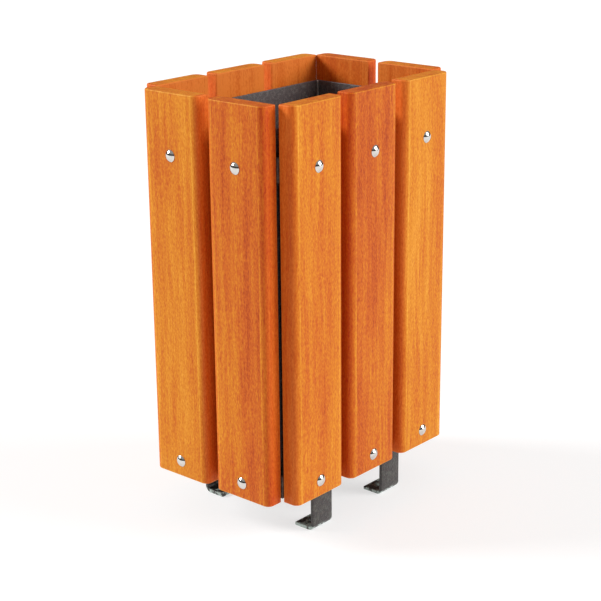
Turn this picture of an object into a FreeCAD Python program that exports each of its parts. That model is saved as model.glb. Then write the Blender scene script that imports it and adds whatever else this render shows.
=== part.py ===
import FreeCAD, Part
import math
import os

# Timber-slatted litter bin: ten upright slats bolted to two flat-bar steel rings, standing on four
# L-shaped feet, with a loose sheet-steel liner that lifts out upwards for emptying.
# Millimetres. +Z up, X along the long side, -Y is the front. The origin is on the ground, at the
# centre of the bin.

# ---- slats ----
slat_width = 122.0
slat_thickness = 30.0
slat_length = 670.0
slat_outer_radius = 12.0      # rounding of the two long edges that face outwards
slat_inner_radius = 1.2       # eased edges towards the rings
slat_end_chamfer = 1.0        # arris taken off both sawn ends
long_side_pitch = 141.65      # between slat centre lines, front and back
short_side_pitch = 143.3      # between slat centre lines, left and right
corner_gap = 1.35             # from a centred row's outer edges to the ends of its ring bar
row_shift = 1.85              # every row sits this far to the back or right of centre, which
                              # closes the back right corner and opens the front left one
ground_clearance = 86.0       # ground to the lower end of the slats

# ---- rings of flat bar ----
ring_thickness = 5.0
ring_height = 40.0
lower_ring_above_slat_end = 28.0
upper_ring_above_slat_end = 566.0

# ---- feet ----
foot_width = 50.0
foot_thickness = 6.0
foot_toe_length = 42.0
foot_bend_radius = 6.0        # inside of the bend
foot_offset = 95.0            # foot centre line from the middle of the long side
foot_hole_diameter = 11.0
foot_hole_from_heel = 24.0

# ---- cross bars under the liner ----
cross_bar_width = 30.0
cross_bar_thickness = 5.0
cross_bar_offset = 45.0

# ---- M8 coach bolts, washers and nuts ----
bolt_diameter = 8.0
bolt_length = 45.0            # under the head
bolt_head_diameter = 20.6
bolt_head_height = 4.9
bolt_neck_side = 8.0
bolt_neck_length = 5.0
bolt_end_chamfer = 1.0
bolt_hole_diameter = 8.6
bolt_neck_clearance = 0.3     # square socket in the slat, across flats and in depth
washer_diameter = 16.0
washer_thickness = 1.6
nut_across_flats = 13.0
nut_height = 6.5

# ---- liner ----
liner_gap = 2.5               # from the ends of the bolts to the liner
liner_rest_gap = 0.2          # between the liner and the cross bars
liner_wall = 1.5
liner_height = 615.0
liner_bend_radius = 4.0       # outside of the folded corners
liner_hem_height = 12.0       # safe edge folded outwards and down
hand_hole_length = 110.0
hand_hole_height = 28.0
hand_hole_below_rim = 50.0    # centre of the hand hole
hand_hole_end_flat = 0.02      # left between the two rounded corners of each end
base_flange_height = 20.0     # turned down, so the floor of the liner stands this high
drain_hole_diameter = 12.0
drain_hole_spread_x = 120.0
drain_hole_spread_y = 65.0

# ---- worked out from the above ----
ring_length_x = 2 * long_side_pitch + slat_width + 2 * corner_gap
ring_length_y = short_side_pitch + slat_width + 2 * corner_gap
half_x = ring_length_x / 2            # inner face of the slats on the short sides
half_y = ring_length_y / 2            # inner face of the slats on the long sides
slat_centre_z = ground_clearance + slat_length / 2
bolt_heights = {
    "lower": ground_clearance + lower_ring_above_slat_end,
    "upper": ground_clearance + upper_ring_above_slat_end,
}
bolt_reach = bolt_length - slat_thickness
liner_inset = bolt_reach + liner_gap
liner_x = ring_length_x - 2 * liner_inset
liner_y = ring_length_y - 2 * liner_inset
cross_bar_z = bolt_heights["lower"] - ring_height / 2
liner_z = cross_bar_z + cross_bar_thickness + liner_rest_gap

# A slat place is its name, the middle of its inner face in plan, and the turn about Z that brings
# the +Y direction to its outward direction.
along_long_side = {
    "left": row_shift - long_side_pitch,
    "middle": row_shift,
    "right": row_shift + long_side_pitch,
}
along_short_side = {
    "front": row_shift - short_side_pitch / 2,
    "back": row_shift + short_side_pitch / 2,
}
slat_places = []
for place, x in along_long_side.items():
    slat_places.append(("slat_front_" + place, x, -half_y, 180.0))
    slat_places.append(("slat_back_" + place, x, half_y, 0.0))
for place, y in along_short_side.items():
    slat_places.append(("slat_left_" + place, -half_x, y, 90.0))
    slat_places.append(("slat_right_" + place, half_x, y, -90.0))

ALONG_Y = FreeCAD.Vector(0, 1, 0)
ALONG_Z = FreeCAD.Vector(0, 0, 1)


def box(size, centre):
    """A box of the given size about a centre."""
    corner = FreeCAD.Vector(*[c - s / 2 for c, s in zip(centre, size)])
    return Part.makeBox(size[0], size[1], size[2], corner)


def edges_along_z(shape, x_range, y_range):
    """The upright edges of a shape whose plan position lies within two ranges."""
    found = []
    for edge in shape.Edges:
        start, end = edge.Vertexes[0].Point, edge.Vertexes[-1].Point
        upright = abs(start.x - end.x) < 1e-6 and abs(start.y - end.y) < 1e-6
        if upright and x_range[0] <= start.x <= x_range[1] and y_range[0] <= start.y <= y_range[1]:
            found.append(edge)
    return found


def placed(shape, x, y, z, turn):
    """A copy of a shape turned about its own Z and moved."""
    copy = shape.copy()
    copy.Placement = FreeCAD.Placement(FreeCAD.Vector(x, y, z), FreeCAD.Rotation(ALONG_Z, turn))
    return copy


def slat():
    """One slat, inner face on y = 0, outwards along +Y, about its own mid-height."""
    board = box((slat_width, slat_thickness, slat_length), (0, slat_thickness / 2, 0))
    wide = (-slat_width, slat_width)
    outer = (slat_thickness - 1, slat_thickness + 1)
    inner = (-1, 1)
    board = board.makeFillet(slat_outer_radius, edges_along_z(board, wide, outer))
    board = board.makeFillet(slat_inner_radius, edges_along_z(board, wide, inner))
    for z in (-slat_length / 2, slat_length / 2):
        end_edges = [e for e in board.Edges if all(abs(v.Z - z) < 1e-6 for v in e.Vertexes)]
        board = board.makeChamfer(slat_end_chamfer, end_edges)
    socket_side = bolt_neck_side + bolt_neck_clearance
    socket_depth = bolt_neck_length + bolt_neck_clearance
    for height in bolt_heights.values():
        z = height - slat_centre_z
        hole = Part.makeCylinder(
            bolt_hole_diameter / 2, slat_thickness, FreeCAD.Vector(0, 0, z), ALONG_Y)
        socket = box((socket_side, socket_depth, socket_side),
                     (0, slat_thickness - socket_depth / 2, z))
        board = board.cut(hole.fuse(socket))
    return board


def ring_bar(length, hole_offsets, height):
    """One flat bar of a ring, inner face of the slats on y = 0, lying towards -Y."""
    bar = box((length, ring_thickness, ring_height), (0, -ring_thickness / 2, height))
    for offset in hole_offsets:
        start = FreeCAD.Vector(offset, -ring_thickness, height)
        bar = bar.cut(Part.makeCylinder(bolt_hole_diameter / 2, ring_thickness, start, ALONG_Y))
    return bar


def foot():
    """One foot: strap against the ring's inner face on y = 0, toe turned inwards along -Y."""
    top = bolt_heights["lower"] + ring_height / 2
    outer_radius = foot_bend_radius + foot_thickness
    diagonal = math.sqrt(0.5)
    heel_z = outer_radius

    def point(y, z):
        return FreeCAD.Vector(-foot_width / 2, y, z)

    def bend(radius, start, end):
        middle = point(-outer_radius + radius * diagonal, outer_radius - radius * diagonal)
        return Part.Arc(start, middle, end).toShape()

    outer_heel, outer_sole = point(0, heel_z), point(-outer_radius, 0)
    inner_sole = point(-outer_radius, foot_thickness)
    inner_heel = point(-foot_thickness, heel_z)
    outline = Part.Wire([
        Part.makeLine(point(0, top), outer_heel),
        bend(outer_radius, outer_heel, outer_sole),
        Part.makeLine(outer_sole, point(-foot_toe_length, 0)),
        Part.makeLine(point(-foot_toe_length, 0), point(-foot_toe_length, foot_thickness)),
        Part.makeLine(point(-foot_toe_length, foot_thickness), inner_sole),
        bend(foot_bend_radius, inner_sole, inner_heel),
        Part.makeLine(inner_heel, point(-foot_thickness, top)),
        Part.makeLine(point(-foot_thickness, top), point(0, top)),
    ])
    strap = Part.Face(outline).extrude(FreeCAD.Vector(foot_width, 0, 0))
    hole_start = FreeCAD.Vector(0, -foot_hole_from_heel, 0)
    return strap.cut(Part.makeCylinder(foot_hole_diameter / 2, foot_thickness, hole_start, ALONG_Z))


def coach_bolt():
    """An M8 coach bolt pointing along -Y, underside of the head on y = 0."""
    radius = bolt_head_diameter / 2
    dome_radius = (radius ** 2 + bolt_head_height ** 2) / (2 * bolt_head_height)
    dome = Part.makeSphere(dome_radius, FreeCAD.Vector(0, bolt_head_height - dome_radius, 0))
    half_space = box((4 * radius, 2 * bolt_head_height, 4 * radius), (0, bolt_head_height, 0))
    neck = box((bolt_neck_side, bolt_neck_length, bolt_neck_side), (0, -bolt_neck_length / 2, 0))
    plain_length = bolt_length - bolt_end_chamfer
    shank = Part.makeCylinder(bolt_diameter / 2, plain_length, FreeCAD.Vector(), -ALONG_Y)
    tip = Part.makeCone(bolt_diameter / 2, bolt_diameter / 2 - bolt_end_chamfer, bolt_end_chamfer,
                        FreeCAD.Vector(0, -plain_length, 0), -ALONG_Y)
    return dome.common(half_space).multiFuse([neck, shank, tip]).removeSplitter()


def washer():
    """A flat washer whose ring-side face is on y = 0, lying towards -Y."""
    disc = Part.makeCylinder(washer_diameter / 2, washer_thickness, FreeCAD.Vector(), -ALONG_Y)
    hole = Part.makeCylinder(bolt_hole_diameter / 2, washer_thickness, FreeCAD.Vector(), -ALONG_Y)
    return disc.cut(hole)


def nut():
    """A hexagon nut whose washer-side face is on y = 0, lying towards -Y."""
    corner_radius = nut_across_flats / math.sqrt(3)
    corners = []
    for k in range(7):
        angle = math.radians(60 * k)
        corners.append(FreeCAD.Vector(corner_radius * math.cos(angle), 0,
                                      corner_radius * math.sin(angle)))
    prism = Part.Face(Part.makePolygon(corners)).extrude(-ALONG_Y * nut_height)
    # Both faces of the nut are chamfered, which rounds off the six points.
    disc = Part.makeCylinder(corner_radius, nut_height, FreeCAD.Vector(), -ALONG_Y)
    rims = [e for e in disc.Edges if abs(e.BoundBox.YLength) < 1e-6]
    prism = prism.common(disc.makeChamfer(corner_radius - nut_across_flats / 2, rims))
    bore = Part.makeCylinder(bolt_diameter / 2, nut_height, FreeCAD.Vector(), -ALONG_Y)
    return prism.cut(bore)


def fastener_group(piece, outward, height):
    """The same fastener at every slat, its y = 0 plane set `outward` of the slats' inner faces."""
    copies = []
    for _, x, y, turn in slat_places:
        direction = FreeCAD.Rotation(ALONG_Z, turn).multVec(ALONG_Y)
        copies.append(placed(piece, x + direction.x * outward, y + direction.y * outward, height,
                             turn))
    return Part.Compound(copies)


def liner_tube(outer_offset, inner_offset, bottom, top):
    """A rectangular tube about the Z axis; offsets are measured outwards from the liner wall."""
    solids = []
    for offset in (outer_offset, inner_offset):
        length, width = liner_x + 2 * offset, liner_y + 2 * offset
        radius = liner_bend_radius + offset
        block = box((length, width, top - bottom), (0, 0, (bottom + top) / 2))
        wide = (-length, length)
        solids.append(block.makeFillet(radius, edges_along_z(block, wide, wide)))
    return solids[0].cut(solids[1])


def liner_half(side):
    """An L-folded sheet, two walls of the liner: side 1 is back and left, -1 front and right."""
    top = liner_z + liner_height
    walls = liner_tube(0, -liner_wall, liner_z, top)
    # The safe edge is the same sheet folded back on its outside.
    hem = liner_tube(liner_wall, 0, top - liner_hem_height, top)
    both = walls.fuse(hem).removeSplitter()
    # The two sheets meet on the diagonal through the back right and front left corners.
    reach = 2 * liner_x
    slope = liner_y / liner_x
    corners = [(-reach, -reach * slope), (reach, reach * slope), (-reach * side, reach * side)]
    outline = [FreeCAD.Vector(x, y, liner_z - 1) for x, y in corners + corners[:1]]
    mask = Part.Face(Part.makePolygon(outline)).extrude(ALONG_Z * (liner_height + 2))
    sheet = both.common(mask)
    hole_z = top - hand_hole_below_rim
    slot = box((4 * liner_wall, hand_hole_length, hand_hole_height),
               (-side * liner_x / 2, 0, hole_z))
    ends = [e for e in slot.Edges if abs(e.Vertexes[0].X - e.Vertexes[-1].X) > liner_wall]
    return sheet.cut(slot.makeFillet((hand_hole_height - hand_hole_end_flat) / 2, ends))


def liner_base():
    """The base welded into the foot of the liner: a floor with a flange turned down round it."""
    length, width = liner_x - 2 * liner_wall, liner_y - 2 * liner_wall
    wide = (-length, length)
    base = box((length, width, base_flange_height), (0, 0, liner_z + base_flange_height / 2))
    base = base.makeFillet(liner_bend_radius - liner_wall, edges_along_z(base, wide, wide))
    underside = box((length - 2 * liner_wall, width - 2 * liner_wall, base_flange_height),
                    (0, 0, liner_z + base_flange_height / 2 - liner_wall))
    base = base.cut(underside)
    for x in (-drain_hole_spread_x, 0.0, drain_hole_spread_x):
        for y in (-drain_hole_spread_y, drain_hole_spread_y):
            start = FreeCAD.Vector(x, y, liner_z)
            base = base.cut(Part.makeCylinder(drain_hole_diameter / 2, base_flange_height, start))
    return base


def all_nodes():
    """Every sub-part by name, in its place."""
    nodes = {}
    board = slat()
    for name, x, y, turn in slat_places:
        nodes[name] = placed(board, x, y, slat_centre_z, turn)

    long_holes = list(along_long_side.values())
    short_holes = list(along_short_side.values())
    for level, height in bolt_heights.items():
        # The front and right bars are turned about, so their holes run the other way.
        back_bar = ring_bar(ring_length_x, long_holes, height)
        front_bar = ring_bar(ring_length_x, [-x for x in long_holes], height)
        left_bar = ring_bar(ring_length_y - 2 * ring_thickness, short_holes, height)
        right_bar = ring_bar(ring_length_y - 2 * ring_thickness, [-y for y in short_holes], height)
        nodes["ring_" + level + "_back"] = placed(back_bar, 0, half_y, 0, 0)
        nodes["ring_" + level + "_front"] = placed(front_bar, 0, -half_y, 0, 180)
        nodes["ring_" + level + "_left"] = placed(left_bar, -half_x, 0, 0, 90)
        nodes["ring_" + level + "_right"] = placed(right_bar, half_x, 0, 0, -90)

        bolts = fastener_group(coach_bolt(), slat_thickness, height)
        washers = fastener_group(washer(), -ring_thickness, height)
        nuts = fastener_group(nut(), -ring_thickness - washer_thickness, height)
        nodes["coach_bolts_" + level] = bolts
        nodes["washers_" + level] = washers
        nodes["nuts_" + level] = nuts

    for place, x in (("left", -foot_offset), ("right", foot_offset)):
        nodes["foot_back_" + place] = placed(foot(), x, half_y - ring_thickness, 0, 0)
        nodes["foot_front_" + place] = placed(foot(), x, ring_thickness - half_y, 0, 180)
        side = math.copysign(cross_bar_offset, x)
        nodes["cross_bar_" + place] = box(
            (cross_bar_width, ring_length_y - 2 * ring_thickness, cross_bar_thickness),
            (side, 0, cross_bar_z + cross_bar_thickness / 2))

    nodes["liner_sheet_back_left"] = liner_half(1)
    nodes["liner_sheet_front_right"] = liner_half(-1)
    nodes["liner_base"] = liner_base()
    return nodes


os.makedirs("parts", exist_ok=True)
for node_name, node_shape in all_nodes().items():
    if not node_shape.isValid():
        raise ValueError(node_name + " is not a valid shape")
    node_shape.exportStep("parts/" + node_name + ".step")
    bounds = node_shape.BoundBox
    print(f"{node_name}: {len(node_shape.Solids)} solid(s), {node_shape.Volume / 1000:.1f} cm3,"
          f" z {bounds.ZMin:.1f} to {bounds.ZMax:.1f}")
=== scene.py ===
import math

import bmesh
import bpy
from mathutils import Matrix, Quaternion, Vector


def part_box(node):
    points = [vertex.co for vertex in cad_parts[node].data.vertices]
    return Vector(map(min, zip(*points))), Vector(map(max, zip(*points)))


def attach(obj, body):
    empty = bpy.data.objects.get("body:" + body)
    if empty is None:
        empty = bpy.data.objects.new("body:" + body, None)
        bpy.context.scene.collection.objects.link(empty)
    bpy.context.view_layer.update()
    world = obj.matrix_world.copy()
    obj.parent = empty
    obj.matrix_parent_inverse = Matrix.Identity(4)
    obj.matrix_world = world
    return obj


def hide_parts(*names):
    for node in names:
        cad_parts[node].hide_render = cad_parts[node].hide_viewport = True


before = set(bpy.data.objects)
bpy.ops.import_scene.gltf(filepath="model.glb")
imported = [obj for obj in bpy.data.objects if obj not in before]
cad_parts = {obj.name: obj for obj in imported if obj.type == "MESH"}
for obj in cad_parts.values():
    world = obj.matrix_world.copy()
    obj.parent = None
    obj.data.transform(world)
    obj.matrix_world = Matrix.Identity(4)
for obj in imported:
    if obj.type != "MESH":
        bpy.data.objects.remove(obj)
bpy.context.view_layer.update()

bl_info = {
    "name": "Timber-slatted litter bin",
    "version": (1, 0, 0),
    "blender": (4, 5, 0),
    "location": "View3D > Sidebar > Litter bin",
    "description": "Stained timber slats on a painted steel frame, with a steel liner that lifts out",
    "category": "Object",
}

MM = 0.001

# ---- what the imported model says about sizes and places, in metres ----


def span(node):
    """Lowest corner, highest corner, middle and size of a node's box."""
    low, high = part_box(node)
    return low, high, (low + high) / 2, high - low


SLATS = [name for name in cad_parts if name.startswith("slat_")]
SLAT_LOW, SLAT_HIGH, SLAT_MIDDLE, SLAT_SIZE = span("slat_back_middle")
ROW_SHIFT = SLAT_MIDDLE.x                    # each row's own middle, to the back or right
LONG_PITCH = span("slat_back_right")[2].x - SLAT_MIDDLE.x
SHORT_PITCH = span("slat_left_back")[2].y - span("slat_left_front")[2].y
HALF_Y = SLAT_LOW.y                          # inner face of the slats on the long sides
HALF_X = span("slat_right_back")[0].x        # inner face of the slats on the short sides
RING_THICKNESS = span("ring_lower_back")[3].y
LOWER_BOLTS = span("coach_bolts_lower")
UPPER_BOLTS = span("coach_bolts_upper")
BOLT_STEP = UPPER_BOLTS[2].z - LOWER_BOLTS[2].z
HEAD_DIAMETER = LOWER_BOLTS[3].z
HEAD_HEIGHT = LOWER_BOLTS[1].y - SLAT_HIGH.y
WASHER_DIAMETER = span("washers_lower")[3].z
WASHER_THICKNESS = HALF_Y - RING_THICKNESS - span("nuts_lower")[1].y
NUT_FLATS = span("nuts_lower")[3].z
NUT_HEIGHT = 6.5 * MM
BOLT_DIAMETER = 8.0 * MM
BOLT_LENGTH = 45.0 * MM
BOLT_HOLE = 8.6 * MM
NECK_SIDE = 8.0 * MM                         # square neck under the head
NECK_LENGTH = 5.0 * MM
NECK_CLEARANCE = 0.3 * MM                    # round the neck in its socket, and under it
FOOT_LOW, _, FOOT_MIDDLE, FOOT_SIZE = span("foot_back_right")
FOOT_THICKNESS = 6.0 * MM
FOOT_HOLE = 11.0 * MM
FOOT_HOLE_FROM_HEEL = 24.0 * MM
LINER_HALF_X = span("liner_sheet_front_right")[1].x     # over the folded rim
LINER_HALF_Y = span("liner_sheet_back_left")[1].y
LINER_BOTTOM, LINER_TOP = (corner.z for corner in span("liner_sheet_back_left")[:2])
LINER_WALL = 1.5 * MM
BASE_LOW, BASE_HIGH = span("liner_base")[:2]
DRAIN_X = 120.0 * MM                         # outer drain holes from the middle of the base
DRAIN_Y = 65.0 * MM


# ---- colours ----


def linear(hex_colour):
    """An sRGB hex colour as linear red, green and blue."""
    channels = [int(hex_colour[i:i + 2], 16) / 255 for i in (1, 3, 5)]
    return [c / 12.92 if c <= 0.04045 else ((c + 0.055) / 1.055) ** 2.4 for c in channels]


def colour(name, hex_colour, description):
    """A colour property that starts from an sRGB hex value."""
    return bpy.props.FloatVectorProperty(
        name=name, description=description, subtype="COLOR", size=3, min=0.0, max=1.0,
        default=linear(hex_colour))


def number(name, default, description, **options):
    """A number property; the options say what kind of number it is."""
    return bpy.props.FloatProperty(
        name=name, description=description, default=default, **options)


def length(name, millimetres, description):
    """A length property that starts from a size in millimetres."""
    return number(name, millimetres * MM, description, unit="LENGTH", min=0.0)


def degrees(name, size, description):
    """An angle property that starts from a size in degrees."""
    return number(name, math.radians(size), description, subtype="ANGLE")


# ---- the sizes and colours that a user would change ----


class TimberSettings(bpy.types.PropertyGroup):
    outer_radius: length("Outer edge radius", 12.0, "Rounding of the long edges that face outwards")
    inner_radius: length("Inner edge radius", 0.9, "Rounding of the long edges against the rings")
    end_radius: length("End radius", 2.2, "Rounding of the arris round both sawn ends")
    ring_spacing: length("Growth ring spacing", 9.0, "Distance between growth rings in the board")
    pale: colour("Pale wood", "#E6A23A", "Wood where the stain is thin")
    honey: colour("Honey wood", "#D2801F", "Most of the stained face")
    amber: colour("Amber wood", "#C05A19", "Redder boards and darker streaks")
    deep: colour("Deep stain", "#9E3812", "Pores and the darkest grain lines")
    # Painted shade: this tint darkens and reddens the slats' side faces, rounded edges and inner
    # faces.
    painted_shade_tint: colour("Thick oil", "#FABDC8", "Tint where the oil lies thick on edges")


class SteelSettings(bpy.types.PropertyGroup):
    edge_radius: length("Edge radius", 0.8, "Softened arris of sheared flat bar under paint")
    paint: colour("Paint", "#3A3231", "Dark warm grey hammered enamel")
    paint_shade: colour("Paint hollows", "#2A2525", "Darker enamel lying in the hollows")
    paint_glint: colour("Paint flakes", "#585B52", "Grey-green glint of the metal flake")
    # Painted highlight: pale grey-green patches painted on the toes stand in for glints.
    toe_glint: colour("Primer", "#A9B8B1", "Pale grey-green primer where the feet are scuffed")
    dimple: length("Dimple size", 4.0, "Spacing of the hammered dimples")


class LinerSettings(bpy.types.PropertyGroup):
    bend_radius: length("Corner radius", 4.0, "Outside radius of the folded corners")
    hem_height: length("Hem height", 12.0, "Depth of the safe edge folded down outside the rim")
    hole_length: length("Hand hole length", 110.0, "Length of the hand hole in each short wall")
    hole_height: length("Hand hole height", 28.0, "Height of the hand hole")
    hole_drop: length("Hand hole depth", 50.0, "From the rim down to the middle of the hand hole")
    drain_diameter: length("Drain hole", 12.0, "Diameter of the drain holes in the base")
    dimple: length("Texture size", 2.2, "Spacing of the dimples in the coating")
    paint: colour("Liner paint", "#4B4142", "Dark warm grey textured coating")
    paint_speck: colour("Liner specks", "#757069", "Pale specks in the coating")
    weld: colour("Weld metal", "#D0CDC6", "Bright weld beads inside the liner")


class FastenerSettings(bpy.types.PropertyGroup):
    thread_pitch: length("Thread pitch", 1.25, "Pitch of the metric coarse thread")
    thread_depth: length("Thread depth", 0.6, "Depth of the thread")
    thread_length: length("Thread length", 15.0, "Threaded end of each bolt")
    polished: colour("Polished stainless", "#DEDAD4", "Domed bolt heads")
    zinc: colour("Zinc plate", "#B9BCBC", "Washers and nuts")


class StageSettings(bpy.types.PropertyGroup):
    azimuth: degrees("Camera azimuth", -48.89, "Turn of the camera round the bin")
    elevation: degrees("Camera elevation", 17.96, "Height of the camera above the horizon")
    roll: degrees("Camera roll", -0.57, "Turn of the camera about its own axis")
    distance: length("Camera distance", 2717.5, "From the camera to the point that it looks at")
    aim_height: length("Aim height", 362.0, "Height of the point that the camera looks at")
    lens: number("Focal length", 92.6, "Focal length in millimetres", min=1.0)
    floor: colour("Floor", "#AAAAAA", "Plain pale studio floor")
    floor_glow: number("Floor glow", 0.65, "Light from under the translucent floor", min=0.0)
    sky: number("Room light", 0.45, "Strength of the even light from all round", min=0.0)


class BinSettings(bpy.types.PropertyGroup):
    timber: bpy.props.PointerProperty(type=TimberSettings)
    steel: bpy.props.PointerProperty(type=SteelSettings)
    liner: bpy.props.PointerProperty(type=LinerSettings)
    fasteners: bpy.props.PointerProperty(type=FastenerSettings)
    stage: bpy.props.PointerProperty(type=StageSettings)


# ---- nodes and materials ----


def add(tree, kind, settings=None, links=None):
    """Adds a node. Settings are its properties or unlinked sockets, or the (place, colour) stops
    of a colour ramp; links are socket: source."""
    node = tree.nodes.new(kind)
    for name, value in (settings or {}).items():
        if name == "stops":
            elements = node.color_ramp.elements
            while len(elements) < len(value):
                elements.new(0.5)
            for element, (place, rgb) in zip(elements, value):
                element.position = place
                element.color = (*rgb, 1.0)
        elif isinstance(name, int) or name in node.inputs.keys():
            node.inputs[name].default_value = value
        else:
            setattr(node, name, value)
    for name, sources in (links or {}).items():
        for source in sources if isinstance(sources, list) else [sources]:
            output = source if isinstance(source, bpy.types.NodeSocket) else source.outputs[0]
            tree.links.new(output, node.inputs[name])
    return node


def new_material(name):
    """An empty node material and its tree."""
    material = bpy.data.materials.new(name)
    material.use_nodes = True
    material.node_tree.nodes.clear()
    return material, material.node_tree


def finish_material(tree, settings, links=None):
    """Ends a material's tree with its principled shader and output."""
    shader = add(tree, "ShaderNodeBsdfPrincipled", settings, links)
    add(tree, "ShaderNodeOutputMaterial", links={"Surface": shader})


def oiled_hardwood(settings):
    """Planed tropical hardwood under a tinted oil: an even, satin, orange-brown face with soft
    streaks along the board, short dark pores and hardly any growth rings."""
    material, tree = new_material("oiled_hardwood")
    place = add(tree, "ShaderNodeAttribute", {"attribute_name": "board_position"})
    seed = add(tree, "ShaderNodeAttribute", {"attribute_name": "board_seed"})
    tone = add(tree, "ShaderNodeAttribute", {"attribute_name": "board_tone"})
    shifted = add(tree, "ShaderNodeVectorMath", {"operation": "ADD"},
                  {0: place.outputs["Vector"], 1: seed.outputs["Vector"]})

    # The grain wanders sideways by a few millimetres over the length of the board.
    slow = add(tree, "ShaderNodeVectorMath", {"operation": "MULTIPLY", 1: (8, 8, 3.0)},
               {0: shifted})
    wander = add(tree, "ShaderNodeTexNoise", {"Scale": 1.0, "Detail": 2.0}, {"Vector": slow})
    drift = add(tree, "ShaderNodeVectorMath",
                {"operation": "MULTIPLY_ADD", 1: (0.024, 0.02, 0.0), 2: (-0.012, -0.01, 0.0)},
                {0: wander.outputs["Color"]})
    grain = add(tree, "ShaderNodeVectorMath", {"operation": "ADD"}, {0: shifted, 1: drift})

    # The pith lies well behind the board, a different way off in each, so the rings only graze
    # its face.
    pith = add(tree, "ShaderNodeVectorMath",
               {"operation": "MULTIPLY_ADD", 1: (0.012, 0.01, 0.0), 2: (-0.06, -0.14, 0.0)},
               {0: seed.outputs["Vector"]})
    local = add(tree, "ShaderNodeVectorMath", {"operation": "ADD"},
                {0: place.outputs["Vector"], 1: drift})
    from_pith = add(tree, "ShaderNodeVectorMath", {"operation": "SUBTRACT"}, {0: local, 1: pith})
    across = add(tree, "ShaderNodeVectorMath", {"operation": "MULTIPLY", 1: (1, 1, 0.02)},
                 {0: from_pith})
    distance = add(tree, "ShaderNodeVectorMath", {"operation": "LENGTH"}, {0: across})
    ring = add(tree, "ShaderNodeMath", {"operation": "DIVIDE", 1: settings.ring_spacing},
               {0: distance.outputs["Value"]})
    year = add(tree, "ShaderNodeMath", {"operation": "FRACT"}, {0: ring})
    late = add(tree, "ShaderNodeValToRGB",
               {"stops": [(0.0, (0, 0, 0)), (0.5, (0.25,) * 3), (0.85, (1, 1, 1)),
                          (1.0, (0, 0, 0))]}, {"Fac": year})

    # name, spacing across the grain in millimetres, stretch along it, detail. The real pores
    # are 0.2 mm wide, so they are drawn wider here, to show at all.
    patterns = {}
    for name, spacing, stretch, detail in (
            ("speckle", 2.3, 2.2, 2.0), ("pore", 1.9, 9, 1.0), ("fibre", 3.2, 45, 3.0),
            ("streak", 14.0, 24, 2.0), ("blotch", 110.0, 3, 2.0)):
        rate = 1 / (spacing * MM)
        space = add(tree, "ShaderNodeVectorMath",
                    {"operation": "MULTIPLY", 1: (rate, rate, rate / stretch)}, {0: grain})
        patterns[name] = add(tree, "ShaderNodeTexNoise", {"Scale": 1.0, "Detail": detail},
                             {"Vector": space})

    # Stain depth: each board's own tone, lightened or darkened by each pattern.
    depth = tone.outputs["Fac"]
    for name, share in (("streak", 0.56), ("blotch", 0.5), ("fibre", 0.42), ("speckle", 0.82)):
        centred = add(tree, "ShaderNodeMath", {"operation": "SUBTRACT", 1: 0.5},
                      {0: patterns[name].outputs["Fac"]})
        depth = add(tree, "ShaderNodeMath", {"operation": "MULTIPLY_ADD", 1: share},
                    {0: centred, 2: depth})
    pores = add(tree, "ShaderNodeMapRange", {"From Min": 0.60, "From Max": 0.74},
                {"Value": patterns["pore"].outputs["Fac"]})
    for source, share in ((late.outputs["Color"], -0.08), (pores, -0.17)):
        depth = add(tree, "ShaderNodeMath", {"operation": "MULTIPLY_ADD", 1: share},
                    {0: source, 2: depth})

    # Painted highlights: pale lines along the arris round each end and just before each rounded
    # edge. The end grain drinks more stain. Painted shade: a dark line where each rounded edge
    # starts, and the side faces and rounded edges, which are lifted paler here but take the darker
    # painted shade tint below. Painted light: the inner face is lifted paler.
    spot = add(tree, "ShaderNodeSeparateXYZ", links={0: place.outputs["Vector"]})
    along = add(tree, "ShaderNodeMath", {"operation": "SUBTRACT", 1: SLAT_SIZE.z / 2},
                {0: spot.outputs["Z"]})
    from_middle = add(tree, "ShaderNodeMath", {"operation": "ABSOLUTE"}, {0: along})
    sideways = add(tree, "ShaderNodeMath", {"operation": "ABSOLUTE"}, {0: spot.outputs["X"]})
    end, arris = SLAT_SIZE.z / 2, settings.end_radius
    half, corner = SLAT_SIZE.x / 2, settings.outer_radius
    masks = {}
    for name, source, start, finish, share in (
            # painted highlight: a pale line along the arris round each end
            ("end_arris_highlight", from_middle, end - 1.2 * arris, end - 0.5 * arris, 0.30),
            ("end_grain", from_middle, end - 0.5 * arris, end - 0.05 * arris, -0.36),
            # painted highlight: a pale line just before each rounded edge
            ("face_arris_highlight", sideways, half - 1.15 * corner, half - 1.02 * corner, 0.20),
            # painted shade: a dark line where each rounded edge starts
            ("rounding", sideways, half - 0.98 * corner, half - 0.85 * corner, -0.20),
            # painted light: the inner face, lifted paler; it also takes most of the painted shade
            # tint
            ("inner_face_light", spot.outputs["Y"], 3.0 * MM, 0.5 * MM, 0.26),
            # painted shade, with the tint below: the side faces and rounded edges
            ("side_face_shade", sideways, half - 0.95 * corner, half - 0.25 * corner, 0.20)):
        masks[name] = add(tree, "ShaderNodeMapRange", {"From Min": start, "From Max": finish},
                          {"Value": source})
        depth = add(tree, "ShaderNodeMath", {"operation": "MULTIPLY_ADD", 1: share},
                    {0: masks[name], 2: depth})
    stain = add(tree, "ShaderNodeValToRGB",
                {"stops": [(0.0, settings.deep), (0.3, settings.amber), (0.62, settings.honey),
                           (1.0, settings.pale)]}, {"Fac": depth})

    # Painted shade: the side faces and rounded edges are tinted darker and redder, as wood in
    # shade looks, and the inner face against the rings nearly as much.
    inside = add(tree, "ShaderNodeMath", {"operation": "MULTIPLY", 1: 0.9},
                 {0: masks["inner_face_light"]})
    thick = add(tree, "ShaderNodeMath", {"operation": "MAXIMUM"},
                {0: masks["side_face_shade"], 1: inside})
    stain = add(tree, "ShaderNodeMix",
                {"data_type": "RGBA", "blend_type": "MULTIPLY", 7: (*settings.painted_shade_tint, 1)},
                {0: thick, 6: stain.outputs["Color"]})

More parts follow.
